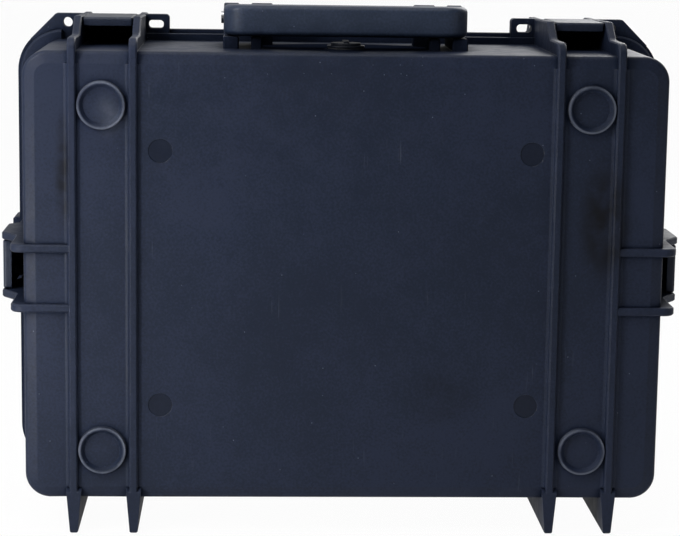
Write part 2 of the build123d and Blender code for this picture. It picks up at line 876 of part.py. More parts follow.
def lever_plate_outline(plane):
    """Side view of a lever's plate and skirts, rounded at the free end."""
    start = y_bottom + lever_start
    with BuildSketch(plane) as outline:
        with BuildLine():
            FilletPolyline(
                (lever_end, lever_top - lever_skirt),
                (lever_end, lever_top),
                (start, lever_top),
                (start, lever_top - lever_skirt),
                (lever_end, lever_top - lever_skirt),
                radius=[0, 0, lever_nose, 0],
            )
        make_face()
    return outline.sketch


def lever_arm_outline(plane):
    """Side view of a lever's knuckle and of the hook that reaches down behind the base rim."""
    with BuildSketch(plane) as outline:
        with BuildLine():
            Polyline(
                (lever_end - arm_run, lever_top),
                (link_x, lever_top),
                (link_x, -link_drop - link_radius),
                (lever_end - arm_run, lever_top - lever_thickness),
                close=True,
            )
        make_face()
        with Locations((link_x, -link_drop)):
            Circle(link_radius)
        with Locations((hook_x - hook_thickness / 2, -(hook_reach + link_drop) / 2)):
            Rectangle(hook_thickness, hook_reach - link_drop)
    return outline.sketch


for seat_name, seat in latch_seats.items():
    with BuildPart() as latch_claw:
        extrude(claw_outline(seat.offset(-lever_width / 2)), amount=lever_width)
        notch_start = link_x - link_radius
        notch_length = hook_x + claw_notch - notch_start
        notch_width = lever_knuckle_width + 2 * moving_gap
        with BuildSketch(seat.offset(-notch_width / 2)):
            with Locations((notch_start + notch_length / 2, -link_drop)):
                Rectangle(notch_length, 4 * link_radius)
        extrude(amount=notch_width, mode=Mode.SUBTRACT)
        clear_hole(seat, (link_x, -link_drop), link_pin_radius, 2 * lever_width)
        clear_hole(seat, (lid_pin_x, -lid_pin_drop), lid_pin_radius + running, 2 * lever_width)
    write(latch_claw.part, f"latch_claw_{seat_name}")

    with BuildPart() as latch_lever:
        extrude(lever_plate_outline(seat.offset(-lever_width / 2)), amount=lever_width)
        ends = latch_lever.faces().filter_by(Plane(seat.location)).sort_by(SortBy.AREA)[-2:]
        chamfer(ends.edges(), lever_edge)
        hollow_start = y_bottom + lever_start + skirt_wall
        hollow_length = lever_end + skirt_wall - hollow_start
        hollow_middle = hollow_start + hollow_length / 2
        with BuildSketch(seat.offset(-lever_width / 2 + skirt_wall)):
            with Locations((hollow_middle, lever_top - lever_thickness - lever_skirt)):
                Rectangle(hollow_length, 2 * lever_skirt)
        extrude(amount=lever_width - 2 * skirt_wall, mode=Mode.SUBTRACT)
        extrude(lever_arm_outline(seat.offset(-lever_knuckle_width / 2)), amount=lever_knuckle_width)
        clear_hole(seat, (link_x, -link_drop), link_pin_radius + running, 2 * lever_width)
    write(latch_lever.part, f"latch_lever_{seat_name}")

    with BuildPart() as latch_lid_pin:
        with BuildSketch(seat.offset(-ear_gap / 2 - rib_width)):
            with Locations((lid_pin_x, -lid_pin_drop)):
                Circle(lid_pin_radius)
        extrude(amount=ear_gap + 2 * rib_width)
    write(latch_lid_pin.part, f"latch_lid_pin_{seat_name}")

    with BuildPart() as latch_link_pin:
        with BuildSketch(seat.offset(-lever_width / 2)):
            with Locations((link_x, -link_drop)):
                Circle(link_pin_radius)
        extrude(amount=lever_width)
    write(latch_link_pin.part, f"latch_link_pin_{seat_name}")


# ---------------------------------------------------------------- handle
grip_y = y_bottom + grip_near + grip_depth / 2
z_core = z_grip + grip_height / 2


def arm_outline(plane):
    """Side view of one handle arm, from its eye on the pivot to the core inside the grip."""
    with BuildSketch(plane) as outline:
        with Locations((pivot_y, z_pivot)):
            Circle(arm_radius)
        with Locations((grip_y, z_core)):
            Circle(core_height / 2)
        make_hull()
    return outline.sketch


with BuildPart() as handle_frame:
    with BuildSketch(upright(-arm_inner - arm_width)):
        with Locations((grip_y, z_core)):
            Rectangle(core_depth, core_height)
    extrude(amount=2 * (arm_inner + arm_width))
    for sign in mirror_signs:
        arm_x = sign * (arm_inner + arm_width / 2)
        extrude(arm_outline(upright(arm_x - arm_width / 2)), amount=arm_width)
        clear_hole(upright(arm_x), (pivot_y, z_pivot), handle_pin_radius + running, 2 * arm_width)
write(handle_frame.part, "handle_frame")

with BuildPart() as handle_grip:
    with BuildSketch(Plane.XY.offset(z_grip)) as plan:
        with Locations((0, grip_y)):
            Rectangle(handle_length, grip_depth)
        fillet(plan.vertices().sort_by(Axis.Y)[:2], grip_near_corner)
        fillet(plan.vertices().sort_by(Axis.Y)[-2:], grip_far_corner)
    extrude(amount=grip_height)
    for face in handle_grip.faces().filter_by(Plane.XY):
        fillet(face.edges(), grip_edge)
    add(handle_frame.part, mode=Mode.SUBTRACT)
write(handle_grip.part, "handle_grip")

for side, sign in (("left", -1), ("right", 1)):
    with BuildPart() as handle_pin:
        with BuildSketch(upright(lug_inner if sign > 0 else -lug_outer)):
            with Locations((pivot_y, z_pivot)):
                Circle(handle_pin_radius)
        extrude(amount=lug_outer - lug_inner)
        head_start = lug_outer if sign > 0 else -lug_outer - handle_pin_head_height
        with BuildSketch(upright(head_start)):
            with Locations((pivot_y, z_pivot)):
                Circle(handle_pin_head)
        extrude(amount=handle_pin_head_height)
    write(handle_pin.part, f"handle_pin_{side}")


# ---------------------------------------------------------------- purge valve
z_flange = z_valve + valve_seal_thickness
z_knob = z_flange + valve_flange + knob_gap
z_nut = z_high - wall + base_lean(valve_y - nut_radius - wall)      # the nut's seat inside the wall
z_stem = z_nut - nut_thickness - stem_proud


def valve_ring(level, outer, inner, length):
    """A round ring about the valve's axis."""
    with BuildSketch(Plane.XY.offset(level)) as ring:
        with Locations((0, valve_y)):
            Circle(outer)
            Circle(inner, mode=Mode.SUBTRACT)
    extrude(ring.sketch, amount=length)


with BuildPart() as valve_body:
    valve_ring(z_stem, valve_stem_radius, spindle_radius + running, z_flange - z_stem)
    valve_ring(z_flange, valve_radius, spindle_radius + running, valve_flange)
write(valve_body.part, "valve_body")

with BuildPart() as valve_seal:
    valve_ring(
        z_valve, valve_stem_radius + seal_gap + valve_seal_width, valve_stem_radius + seal_gap,
        valve_seal_thickness,
    )
write(valve_seal.part, "valve_seal")

with BuildPart() as valve_nut:
    with BuildSketch(Plane.XY.offset(z_nut - nut_thickness)):
        with Locations((0, valve_y)):
            RegularPolygon(nut_radius, 6)
            Circle(valve_stem_radius, mode=Mode.SUBTRACT)
    extrude(amount=nut_thickness)
write(valve_nut.part, "valve_nut")

with BuildPart() as valve_knob:
    with BuildSketch(Plane.XY.offset(z_stem)):
        with Locations((0, valve_y)):
            Circle(spindle_radius)
    extrude(amount=z_knob - z_stem)
    with BuildSketch(Plane.XY.offset(z_knob)):
        with Locations((0, valve_y)):
            Circle(knob_radius)
    extrude(amount=knob_height)
    with BuildSketch(Plane.XY.offset(z_knob + knob_height)):
        with Locations((0, valve_y)):
            Rectangle(knob_ridge_width, 2 * (knob_radius - knob_ridge_inset))
    extrude(amount=knob_ridge_height)
write(valve_knob.part, "valve_knob")


# ---------------------------------------------------------------- foam
foam_start = y_floor + pad_thickness
foam_top = y_part - foam_gap
foam_grown = (foam_start - y_floor) * tan(radians(base_draft)) - foam_gap

with BuildPart() as base_foam_pad:
    with BuildSketch(middle(y_floor)):
        RectangleRounded(inner_width - 2 * foam_gap, inner_height - 2 * foam_gap, corner_radius - wall)
    extrude(amount=pad_thickness, taper=-base_draft)
    chamfer(base_foam_pad.faces().sort_by(Axis.Y)[0].edges(), floor_radius)
write(base_foam_pad.part, "base_foam_pad")

with BuildPart() as base_foam:
    with BuildSketch(middle(foam_start)):
        RectangleRounded(
            inner_width + 2 * foam_grown, inner_height + 2 * foam_grown, corner_radius - wall
        )
    extrude(amount=foam_top - foam_start, taper=-base_draft)
    # Pockets for the laptop and its cables, with thumb cut-outs at the short sides
    pocket_low = -(cable_pocket_height + cable_pocket_gap) / 2
    with BuildSketch(middle(foam_top - pocket_depth)):
        with Locations((0, pocket_low)):
            RectangleRounded(pocket_width, pocket_height, pocket_corner)
        with Locations((-pocket_width / 2, pocket_low), (pocket_width / 2, pocket_low)):
            Circle(thumb_radius)
        with Locations((0, (pocket_height + cable_pocket_gap) / 2)):
            RectangleRounded(cable_pocket_width, cable_pocket_height, pocket_corner)
    extrude(amount=pocket_depth, mode=Mode.SUBTRACT)
    # Notch that lets the foam slide past the nut of the valve
    notch_end = valve_y + nut_radius + nut_clear
    with BuildSketch(Plane.XY.offset(z_stem - nut_clear)):
        with Locations((0, (foam_start + notch_end) / 2)):
            Rectangle(2 * (nut_radius + nut_clear), notch_end - foam_start)
    extrude(amount=z_high - z_stem, mode=Mode.SUBTRACT)
write(base_foam.part, "base_foam")

with BuildPart() as lid_foam:
    lid_foam_start = y_ceiling - lid_foam_thickness
    shrunk = lid_lean(lid_foam_start) + foam_gap
    with BuildSketch(middle(lid_foam_start)):
        RectangleRounded(
            2 * (cavity_half_width - shrunk), 2 * (cavity_half_height - shrunk), cavity_corner - shrunk
        )
    extrude(amount=lid_foam_thickness, taper=lid_draft)
    chamfer(lid_foam.faces().sort_by(Axis.Y)[-1].edges(), floor_radius)
write(lid_foam.part, "lid_foam")
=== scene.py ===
"""Looks of a moulded laptop hard case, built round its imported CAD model.

Lengths are in metres, in the frame of the CAD: X across the case, Y from the bottom of the base to the lid,
and Z up.
"""

import json
import math

import bpy
from mathutils import Matrix, Vector, noise


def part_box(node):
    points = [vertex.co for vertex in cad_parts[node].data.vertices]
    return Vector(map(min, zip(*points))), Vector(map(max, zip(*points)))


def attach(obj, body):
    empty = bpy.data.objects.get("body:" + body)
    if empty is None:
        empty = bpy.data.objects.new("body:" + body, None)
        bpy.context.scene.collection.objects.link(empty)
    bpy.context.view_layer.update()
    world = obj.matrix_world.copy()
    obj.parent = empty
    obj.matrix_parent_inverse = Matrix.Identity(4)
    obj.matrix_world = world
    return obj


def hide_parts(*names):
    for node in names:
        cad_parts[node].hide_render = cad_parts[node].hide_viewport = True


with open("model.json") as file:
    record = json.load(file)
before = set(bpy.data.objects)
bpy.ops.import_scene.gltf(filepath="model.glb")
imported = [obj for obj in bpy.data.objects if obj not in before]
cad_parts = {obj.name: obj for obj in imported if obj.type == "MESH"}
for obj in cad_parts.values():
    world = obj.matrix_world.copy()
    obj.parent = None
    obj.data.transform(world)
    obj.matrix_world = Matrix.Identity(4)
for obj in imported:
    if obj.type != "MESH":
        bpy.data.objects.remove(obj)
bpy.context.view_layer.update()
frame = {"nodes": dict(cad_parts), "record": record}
nodes = frame["nodes"]


# ---------------------------------------------------------------- camera
CAMERA_PLACE = (-0.07638, -1.74959, 0.48537)
CAMERA_PITCH = -0.161716         # radians, down
CAMERA_YAW = -0.043759
CAMERA_ROLL = -0.014111
PHOTO_WIDTH = 680                # pixels
FOCAL_PIXELS = 2114.53
SENSOR = 36.0                    # millimetres
CAMERA_CLIP = 100.0


def make_camera():
    """A camera at the photograph's viewing angle."""
    data = bpy.data.cameras.new("camera")
    data.sensor_width = SENSOR
    data.lens = FOCAL_PIXELS * SENSOR / PHOTO_WIDTH
    data.clip_end = CAMERA_CLIP
    camera = bpy.data.objects.new("camera", data)
    bpy.context.scene.collection.objects.link(camera)
    camera.matrix_world = (
        Matrix.Translation(CAMERA_PLACE)
        @ Matrix.Rotation(CAMERA_YAW, 4, "Z")
        @ Matrix.Rotation(CAMERA_PITCH, 4, "X")
        @ Matrix.Rotation(CAMERA_ROLL, 4, "Y")
        @ Matrix.Rotation(math.pi / 2, 4, "X")
    )
    bpy.context.scene.camera = camera


make_camera()
bpy.context.scene.view_settings.view_transform = "Standard"


# ---------------------------------------------------------------- shader helpers
def linear(red, green, blue, alpha=1.0):
    """An sRGB colour of 0 to 255 as the linear colour that a shader takes."""
    def channel(value):
        value /= 255
        return value / 12.92 if value <= 0.04045 else ((value + 0.055) / 1.055) ** 2.4
    return (channel(red), channel(green), channel(blue), alpha)


class Shader:
    """A node material, with short calls for the nodes that the materials here share."""

    def __init__(self, name):
        self.material = bpy.data.materials.new(name)
        self.material.use_nodes = True
        self.tree = self.material.node_tree
        self.surface = self.tree.nodes["Principled BSDF"]
        self.place = self.tree.nodes.new("ShaderNodeTexCoord").outputs["Object"]

    def node(self, kind, **values):
        made = self.tree.nodes.new(kind)
        for key, value in values.items():
            setattr(made, key, value)
        return made

    def link(self, source, target):
        self.tree.links.new(source, target)

    def put(self, target, value):
        if isinstance(value, bpy.types.NodeSocket):
            self.link(value, target)
        else:
            target.default_value = value

    def mapped(self, scale, rotation=(0, 0, 0)):
        """The object's coordinates, scaled and turned."""
        mapping = self.node("ShaderNodeMapping")
        self.link(self.place, mapping.inputs["Vector"])
        mapping.inputs["Scale"].default_value = scale
        mapping.inputs["Rotation"].default_value = rotation
        return mapping.outputs["Vector"]

    def noise(self, scale, detail=2.0, roughness=0.5, vector=None):
        made = self.node("ShaderNodeTexNoise")
        self.link(vector or self.place, made.inputs["Vector"])
        made.inputs["Scale"].default_value = scale
        made.inputs["Detail"].default_value = detail
        made.inputs["Roughness"].default_value = roughness
        return made.outputs["Fac"]

    def ramp(self, value, low, high, bottom=0.0, top=1.0):
        """Maps a value from low..high to bottom..top, smoothly and clamped."""
        made = self.node("ShaderNodeMapRange", interpolation_type="SMOOTHSTEP")
        self.link(value, made.inputs["Value"])
        made.inputs["From Min"].default_value = low
        made.inputs["From Max"].default_value = high
        made.inputs["To Min"].default_value = bottom
        made.inputs["To Max"].default_value = top
        return made.outputs["Result"]

    def math(self, operation, first, second=0.0):
        made = self.node("ShaderNodeMath", operation=operation)
        self.put(made.inputs[0], first)
        self.put(made.inputs[1], second)
        return made.outputs["Value"]

    def mix(self, factor, first, second):
        """Colour mix."""
        made = self.node("ShaderNodeMix", data_type="RGBA")
        self.put(made.inputs["Factor"], factor)
        self.put(made.inputs["A"], first)
        self.put(made.inputs["B"], second)
        return made.outputs["Result"]

    def bump(self, height, strength, distance, normal=None):
        made = self.node("ShaderNodeBump")
        made.inputs["Strength"].default_value = strength
        made.inputs["Distance"].default_value = distance
        self.link(height, made.inputs["Height"])
        if normal:
            self.link(normal, made.inputs["Normal"])
        return made.outputs["Normal"]

    def any_of(self, *values):
        """The largest of several values."""
        result = values[0]
        for value in values[1:]:
            result = self.math("MAXIMUM", result, value)
        return result

    def edges(self, radius, sharp, soft):
        """A mask of the solid's edges, from how far a rounding of this radius turns the normal."""
        bevel = self.node("ShaderNodeBevel", samples=6)
        bevel.inputs["Radius"].default_value = radius
        flat = self.node("ShaderNodeNewGeometry").outputs["Normal"]
        turn = self.node("ShaderNodeVectorMath", operation="DOT_PRODUCT")
        self.link(bevel.outputs["Normal"], turn.inputs[0])
        self.link(flat, turn.inputs[1])
        return self.ramp(turn.outputs["Value"], soft, sharp), bevel.outputs["Normal"]

    def openness(self, reach):
        """1 on open surfaces, falling to 0 deep inside gaps narrower than the reach."""
        shade = self.node("ShaderNodeAmbientOcclusion", samples=8)
        shade.inputs["Distance"].default_value = reach
        return shade.outputs["AO"]

    def spot(self, centre, reach, inner=0.0):
        """A mask that is 1 in the inner share of an ellipsoid and fades to 0 at its surface."""
        away = self.node("ShaderNodeVectorMath", operation="SUBTRACT")
        self.link(self.place, away.inputs[0])
        away.inputs[1].default_value = centre
        scaled = self.node("ShaderNodeVectorMath", operation="DIVIDE")
        self.link(away.outputs["Vector"], scaled.inputs[0])
        scaled.inputs[1].default_value = reach
        length = self.node("ShaderNodeVectorMath", operation="LENGTH")
        self.link(scaled.outputs["Vector"], length.inputs[0])
        return self.ramp(length.outputs["Value"], 1.0, inner)

    def faded(self, mask, amount):
        return self.math("MULTIPLY", mask, amount)


# ---------------------------------------------------------------- materials
# pale tone of dust, scuffs and rubbing, also a painted highlight on edges and ring lips
DUST_AND_HIGHLIGHT = linear(118, 124, 138)
# painted shade: colour of narrow gaps and of the wall under the grip
PAINTED_SHADE_COLOUR = linear(10, 12, 18)
SMUDGE_AND_SHADE_COLOUR = linear(8, 10, 16)
DOT_COLOUR = linear(14, 20, 33)

# Surface of all mouldings
GAP_REACH = 0.03                 # narrower gaps get painted shade and less shine
EDGE_RADIUS = 0.0007
EDGE_SHINE = 0.2                 # added to the specular level
EDGE_GLOSS = 0.16                # taken from the roughness
PEBBLE_CONTRAST = 0.6
SCUFF_SCALE = (420.0, 420.0, 26.0)
SCUFF_TILT = 0.12                # radians
SCUFF_AMOUNT = 0.10
SCUFF_ROUGHNESS = 0.1
DUST_SCALE = 240.0
DUST_RARITY = 0.965              # share of the cells without a speck
DUST_AMOUNT = 0.55

# Regions as (centre, reach) of an ellipsoid
DUSTED = ((0.0, -0.100, 0.374), (0.115, 0.03, 0.014))         # more dust along the upper border
DUSTED_EXTRA = 0.4
UNDER_GRIP = ((0.0, -0.028, 0.388), (0.118, 0.074, 0.02))     # wall darkened to the photograph's shade
UNDER_GRIP_AMOUNT = 0.65

# Marks on the bottom face: moulding dots, stacking rings with a painted highlight on their lips, dark
# smudges with painted shade beside the left outer rib, and one pale patch
DOTS = [(x, -0.1012, z) for x in (-0.146, 0.146) for z in (0.1048, 0.3078)]
DOT_REACH = (0.0098, 0.02, 0.0098)
DOT_AMOUNT = 0.75
DOT_GLOSS = 0.12
RINGS = [(x, -0.1055, z) for x in (-0.192, 0.192) for z in (0.0681, 0.3433)]
LIP_OUTER = (0.0196, 0.05, 0.0196)
LIP_INNER = (0.0177, 0.05, 0.0177)
LIP_HIGHLIGHT_AMOUNT = 0.4
LIP_GLOSS = 0.1
SMUDGES_AND_SHADE = [
    ((0.205, -0.103, 0.254), (0.026, 0.03, 0.062), 1.0),
    # painted shade on the left side of the left outer rib
    ((-0.2215, -0.098, 0.290), (0.009, 0.02, 0.060), 0.9),
    ((0.079, -0.103, 0.112), (0.035, 0.03, 0.030), 0.30),
]
PALE_PATCH = ((-0.186, -0.103, 0.335), (0.016, 0.012, 0.022))
PALE_AMOUNT = 0.16


def dust_specks(shader):
    """A mask of scattered round specks, denser in the dusted region."""
    cells = shader.node("ShaderNodeTexVoronoi", feature="F1")
    shader.link(shader.place, cells.inputs["Vector"])
    cells.inputs["Scale"].default_value = DUST_SCALE
    cells.inputs["Randomness"].default_value = 1.0
    speck = shader.ramp(cells.outputs["Distance"], 0.13, 0.05)
    lucky = shader.node("ShaderNodeSeparateColor")
    shader.link(cells.outputs["Color"], lucky.inputs["Color"])
    often = shader.math("SUBTRACT", DUST_RARITY, shader.faded(shader.spot(*DUSTED), DUSTED_EXTRA))
    few = shader.math("GREATER_THAN", lucky.outputs["Red"], often)
    return shader.faded(shader.math("MULTIPLY", speck, few), DUST_AMOUNT)


def moulded_plastic(name, dark, light, roughness, grain, specular, wear=0.28):
    """Matt moulded plastic: cloudy tone, fine mould grain, painted shade in narrow gaps, lighter rubbed
    edges that are partly a painted highlight, dust and faint scuffs.
    """
    shader = Shader(name)
    surface = shader.surface
    surface.inputs["Metallic"].default_value = 0.0
    open_air = shader.openness(GAP_REACH)
    edge, rounded = shader.edges(EDGE_RADIUS, 0.80, 0.995)
    polish = shader.math("ADD", specular, shader.faded(edge, EDGE_SHINE))
    exposed = shader.ramp(open_air, 0.55, 0.95, 0.15, 1.0)
    shader.link(shader.math("MULTIPLY", polish, exposed), surface.inputs["Specular IOR Level"])

    # Clouds, mottle and pebbled grain in the tone, and painted shade in the gaps
    clouds = shader.noise(7.0, detail=3.0, roughness=0.55)
    mottle = shader.noise(85.0, detail=4.0, roughness=0.6)
    pebble = shader.noise(520.0, detail=2.0, roughness=0.5)
    tone = shader.math("ADD", shader.faded(clouds, 0.65), shader.faded(mottle, 0.35))
    tone = shader.math("ADD", tone, shader.faded(shader.math("SUBTRACT", pebble, 0.5), PEBBLE_CONTRAST))
    colour = shader.mix(shader.ramp(tone, 0.34, 0.66), dark, light)
    # painted shade darkens the colour in narrow gaps
    colour = shader.mix(shader.ramp(open_air, 0.25, 0.8, 0.75, 0.0), colour, PAINTED_SHADE_COLOUR)

    # Lighter rubbed edges, partly a painted highlight along the edges, broken up by noise
    rubbed = shader.ramp(shader.noise(130.0, detail=5.0, roughness=0.65), 0.44, 0.72)
    rubbed_and_highlight = shader.faded(shader.math("MULTIPLY", edge, rubbed), wear)
    colour = shader.mix(rubbed_and_highlight, colour, DUST_AND_HIGHLIGHT)

    # Long thin scuffs, mostly along the upright direction
    stretched = shader.mapped(SCUFF_SCALE, rotation=(0.0, SCUFF_TILT, 0.0))
    streaks = shader.noise(1.0, detail=2.0, vector=stretched)
    patches = shader.ramp(shader.noise(11.0, detail=2.0), 0.52, 0.68)
    scuffs = shader.math("MULTIPLY", shader.ramp(streaks, 0.66, 0.78), patches)
    colour = shader.mix(shader.faded(scuffs, SCUFF_AMOUNT), colour, DUST_AND_HIGHLIGHT)

    colour = shader.mix(dust_specks(shader), colour, DUST_AND_HIGHLIGHT)

    # Surface relief: mould grain over a faint unevenness
    fine = shader.noise(grain, detail=2.0, roughness=0.6)
    waves = shader.noise(38.0, detail=1.0)
    normal = shader.bump(waves, 0.10, 0.0006, rounded)
    normal = shader.bump(pebble, 0.25, 0.00012, normal)
    normal = shader.bump(fine, 0.35, 0.00009, normal)
    shader.link(normal, surface.inputs["Normal"])
    gloss = shader.math(
        "ADD",
        shader.ramp(mottle, 0.3, 0.7, roughness - 0.05, roughness + 0.06),
        shader.math("SUBTRACT", shader.faded(scuffs, SCUFF_ROUGHNESS), shader.faded(edge, EDGE_GLOSS)),
    )
    return shader, colour, gloss


def close(shader, colour, gloss):
    """Links the finished colour and roughness, and returns the material."""
    shader.link(colour, shader.surface.inputs["Base Color"])
    shader.link(gloss, shader.surface.inputs["Roughness"])
    return shader.material


def plain_moulding(*values, **options):
    return close(*moulded_plastic(*values, **options))


def case_plastic():
    """The shells' plastic, with the marks of the bottom face, painted highlights on the ring lips and
    painted shade on the wall under the grip.
    """
    shader, colour, gloss = moulded_plastic(
        "case_plastic_skin", linear(22, 29, 44), linear(30, 37, 55), 0.50, 1500.0, 0.16
    )
    for centre in DOTS:
        disc = shader.spot(centre, DOT_REACH, 0.93)
        colour = shader.mix(shader.faded(disc, DOT_AMOUNT), colour, DOT_COLOUR)
        gloss = shader.math("SUBTRACT", gloss, shader.faded(disc, DOT_GLOSS))
    blotch = shader.ramp(shader.noise(60.0, detail=3.0), 0.3, 0.62, 0.35, 1.0)
    # dark smudges, and painted shade beside the left outer rib
    for centre, reach, amount in SMUDGES_AND_SHADE:
        mark = shader.math("MULTIPLY", shader.spot(centre, reach, 0.25), blotch)
        colour = shader.mix(shader.faded(mark, amount), colour, SMUDGE_AND_SHADE_COLOUR)
    patch = shader.math("MULTIPLY", shader.spot(*PALE_PATCH), blotch)
    colour = shader.mix(shader.faded(patch, PALE_AMOUNT), colour, DUST_AND_HIGHLIGHT)

    # Painted highlight on the lips of the stacking rings
    discs = shader.any_of(*[shader.spot(centre, LIP_OUTER, 0.93) for centre in RINGS])
    dishes = shader.any_of(*[shader.spot(centre, LIP_INNER, 0.94) for centre in RINGS])
    lips = shader.math("MULTIPLY", shader.math("SUBTRACT", discs, dishes), blotch)
    colour = shader.mix(shader.faded(lips, LIP_HIGHLIGHT_AMOUNT), colour, DUST_AND_HIGHLIGHT)
    gloss = shader.math("SUBTRACT", gloss, shader.faded(lips, LIP_GLOSS))

    # Painted shade: darker and less shiny wall under the grip
    shaded = shader.spot(*UNDER_GRIP, 0.6)
    colour = shader.mix(shader.faded(shaded, UNDER_GRIP_AMOUNT), colour, PAINTED_SHADE_COLOUR)
    shine = shader.surface.inputs["Specular IOR Level"]
    kept = shader.math("SUBTRACT", 1.0, shaded)
    shader.link(shader.math("MULTIPLY", shine.links[0].from_socket, kept), shine)
    return close(shader, colour, gloss)


def steel():
    """Stainless steel of the pins, brushed along its length and faintly stained."""
    shader = Shader("steel_pins")
    surface = shader.surface
    surface.inputs["Metallic"].default_value = 1.0
    brushed = shader.noise(1.0, detail=3.0, roughness=0.7, vector=shader.mapped((2600.0, 240.0, 240.0)))
    stain = shader.noise(190.0, detail=4.0)
    colour = shader.mix(shader.ramp(stain, 0.42, 0.7), linear(188, 190, 194), linear(138, 136, 134))
    shader.link(colour, surface.inputs["Base Color"])
    shader.link(shader.ramp(brushed, 0.3, 0.7, 0.22, 0.40), surface.inputs["Roughness"])
    shader.link(shader.bump(brushed, 0.25, 0.00003), surface.inputs["Normal"])
    return shader.material


def rubber():
    """Matt black rubber with a pale bloom and fine pores."""
    shader = Shader("seal_rubber_skin")
    surface = shader.surface
    surface.inputs["Specular IOR Level"].default_value = 0.4
    bloom = shader.noise(55.0, detail=4.0, roughness=0.6)
    pores = shader.noise(2200.0, detail=1.0)
    colour = shader.mix(shader.ramp(bloom, 0.4, 0.75), linear(19, 19, 21), linear(40, 40, 43))
    shader.link(colour, surface.inputs["Base Color"])
    shader.link(shader.ramp(bloom, 0.3, 0.7, 0.62, 0.80), surface.inputs["Roughness"])
    shader.link(shader.bump(pores, 0.3, 0.00006), surface.inputs["Normal"])
    return shader.material


def foam():
    """Open-cell foam: a cloudy dark grey full of tiny darker cells."""
    shader = Shader("foam_skin")
    surface = shader.surface
    surface.inputs["Specular IOR Level"].default_value = 0.1
    surface.inputs["Sheen Weight"].default_value = 0.25
    surface.inputs["Sheen Roughness"].default_value = 0.6
    surface.inputs["Roughness"].default_value = 0.95
    cells = shader.node("ShaderNodeTexVoronoi", feature="SMOOTH_F1")
    shader.link(shader.place, cells.inputs["Vector"])
    cells.inputs["Scale"].default_value = 900.0
    cells.inputs["Smoothness"].default_value = 0.4
    coarse = shader.node("ShaderNodeTexVoronoi", feature="F1")
    shader.link(shader.place, coarse.inputs["Vector"])
    coarse.inputs["Scale"].default_value = 330.0
    cloud = shader.noise(22.0, detail=4.0, roughness=0.6)
    tiny = shader.ramp(cells.outputs["Distance"], 0.15, 0.6)
    holes = shader.math("MULTIPLY", tiny, shader.ramp(coarse.outputs["Distance"], 0.05, 0.35))
    tone = shader.mix(shader.ramp(cloud, 0.35, 0.7), linear(38, 39, 42), linear(56, 57, 60))
    colour = shader.mix(shader.ramp(holes, 0.0, 0.7), linear(17, 17, 19), tone)
    shader.link(colour, surface.inputs["Base Color"])
    shader.link(shader.bump(holes, 0.7, 0.0006), surface.inputs["Normal"])
    return shader.material


SLOT_MATERIALS = {
    "case_plastic": case_plastic(),
    "latch_plastic": plain_moulding(
        "latch_plastic_skin", linear(23, 30, 44), linear(32, 39, 56), 0.44, 1900.0, 0.28
    ),
    "handle_plastic": plain_moulding(
        "handle_plastic_skin", linear(29, 38, 54), linear(39, 49, 68), 0.46, 1300.0, 0.28, wear=0.25
    ),
    "valve_plastic": plain_moulding(
        "valve_plastic_skin", linear(19, 22, 29), linear(28, 32, 40), 0.44, 2100.0, 0.45
    ),
    "seal_rubber": rubber(),
    "steel": steel(),
    "foam": foam(),
}

for part in frame["record"]["subparts"]:
    skin = nodes[part["node"]]
    for slot in skin.material_slots:
        slot.material = SLOT_MATERIALS[part["material_slot"]]


# ---------------------------------------------------------------- foam
FOAM_SMOOTHING = 3               # passes
FOAM_RELAX = 0.5
FOAM_SEED = 7                    # without it, mathutils.noise takes its seed from the clock
WANDER_SCALE = 24.0
WANDER = 0.0007
CUP_PITCH = 0.034
CUP_DEPTH = 0.011
CUP_BORDER = 0.018
CUP_FADE = 0.012
FACE_DEPTH = 0.004               # vertices this near to the inner face are on it


def foam_piece(name, node, body, voxel, shape=None):
    """Soft foam grown from a plain solid: rounded by a voxel remesh, shaped, and kept inside its box."""
    source = nodes[node].data.copy()
    piece = bpy.data.objects.new(name, source)
    bpy.context.scene.collection.objects.link(piece)
    bpy.context.view_layer.objects.active = piece
    low, high = (Vector(corner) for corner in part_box(node))
    remesh = piece.modifiers.new("remesh", "REMESH")
    remesh.mode = "VOXEL"
    remesh.voxel_size = voxel
    relax = piece.modifiers.new("relax", "SMOOTH")
    relax.factor = FOAM_RELAX
    relax.iterations = FOAM_SMOOTHING
    depsgraph = bpy.context.evaluated_depsgraph_get()
    mesh = bpy.data.meshes.new_from_object(piece.evaluated_get(depsgraph))
    piece.modifiers.clear()
    piece.data = mesh
    for vertex in mesh.vertices:
        at = vertex.co
        if shape:
            shape(at, low, high)
        at += noise.noise_vector(at * WANDER_SCALE) * WANDER
        for axis in range(3):
            at[axis] = min(max(at[axis], low[axis]), high[axis])
    mesh.materials.clear()
    mesh.materials.append(SLOT_MATERIALS["foam"])
    mesh.shade_smooth()
    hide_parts(node)
    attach(piece, body)


def egg_crate(at, low, high):
    """Sinks the face that looks into the case into rounded cups, away from its border."""
    if at.y > low.y + FACE_DEPTH:
        return
    inside = min(at.x - low.x, high.x - at.x, at.z - low.z, high.z - at.z)
    fade = min(max((inside - CUP_BORDER) / CUP_FADE, 0.0), 1.0)
    wave = math.cos(at.x * math.tau / CUP_PITCH) * math.cos((at.z - low.z) * math.tau / CUP_PITCH)
    at.y += CUP_DEPTH * fade * (0.5 - 0.5 * wave)


noise.seed_set(FOAM_SEED)
foam_piece("foam_pad", "base_foam_pad", "base", 0.006)
foam_piece("foam_insert", "base_foam", "base", 0.0045)
foam_piece("foam_convoluted", "lid_foam", "lid", 0.0045, egg_crate)


